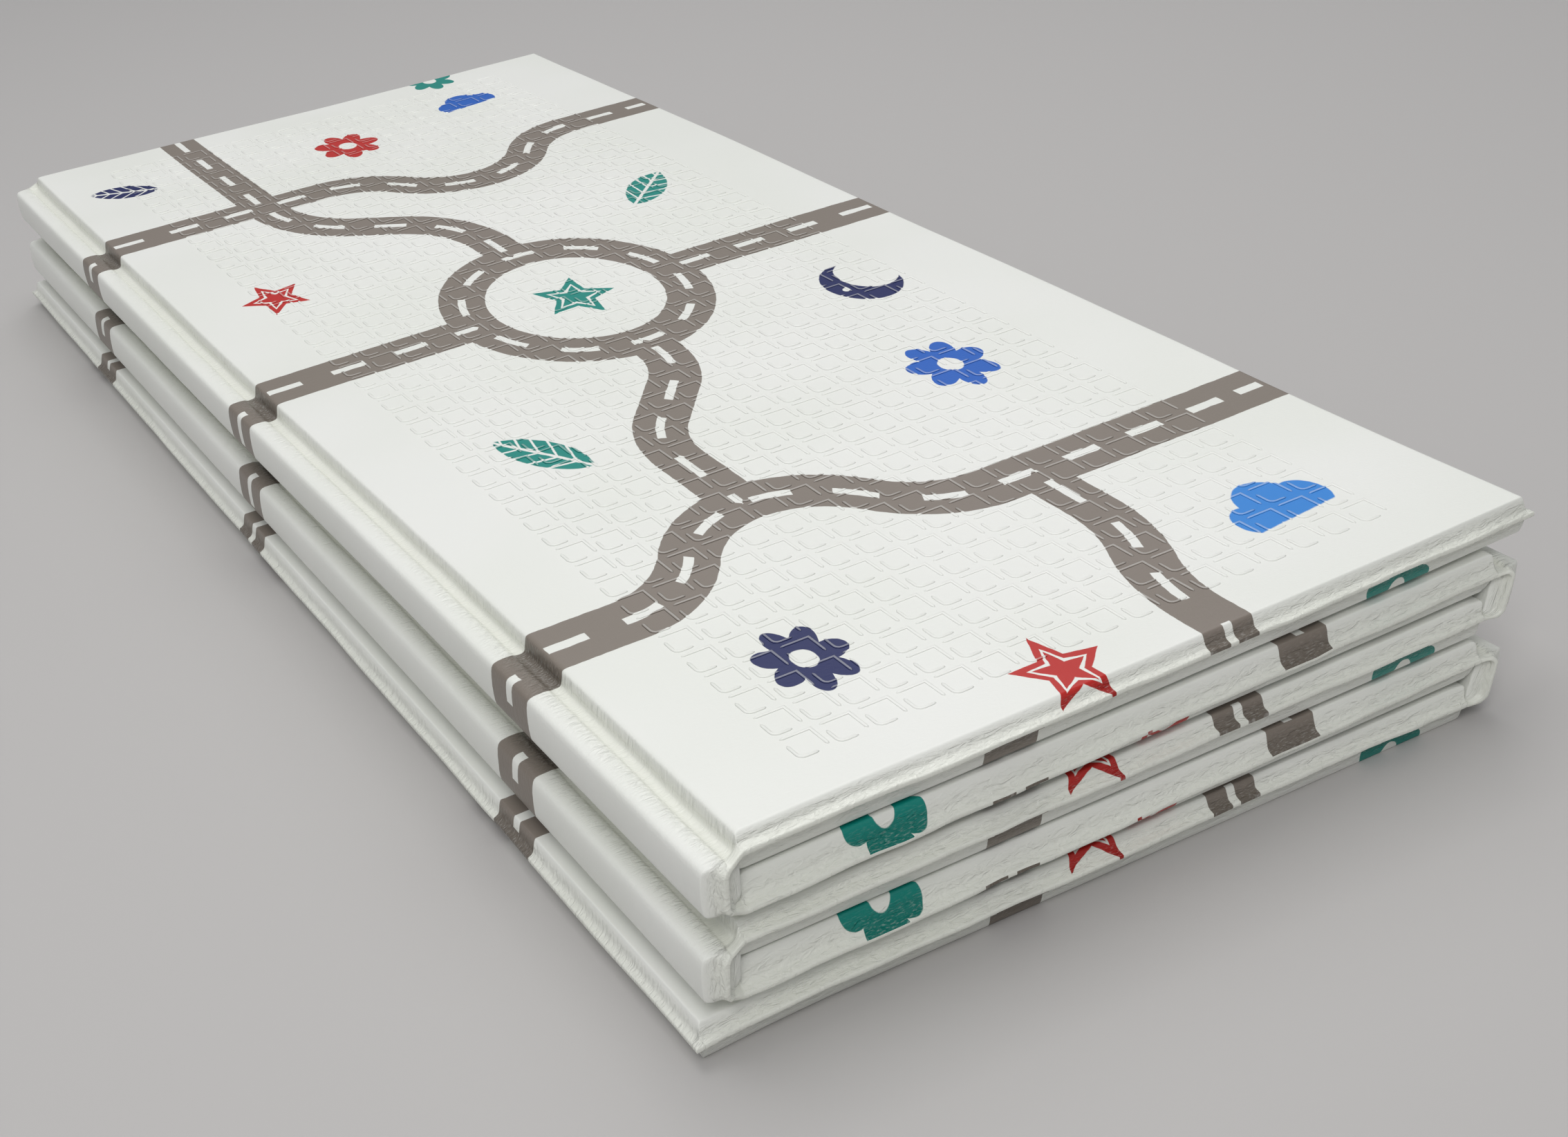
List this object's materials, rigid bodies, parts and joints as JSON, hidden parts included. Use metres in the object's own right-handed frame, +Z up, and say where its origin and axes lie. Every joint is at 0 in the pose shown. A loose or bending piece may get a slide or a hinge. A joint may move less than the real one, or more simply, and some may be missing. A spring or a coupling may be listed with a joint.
{
  "type": "foldable foam mat",
  "caption": "Foam play mat folded back and forth into a flat stack of panels, with pressed hinge webs, narrow spine strips and thin-lipped bevelled edges.",
  "frame": {"origin": "centre of the bounding box in plan, on the plane of the underside", "axes": "+Y along the fold lines, +Z up through the stack, +X across the folds towards the side where the top panel's edge is free"},
  "size_m": [0.4194, 1.0066, 0.0998],
  "materials": {
    "foam_film": "satin printed film over closed-cell foam"
  },
  "bodies": {
    "root": {"folding_mat": "foam_film"}
  },
  "joints": []
}
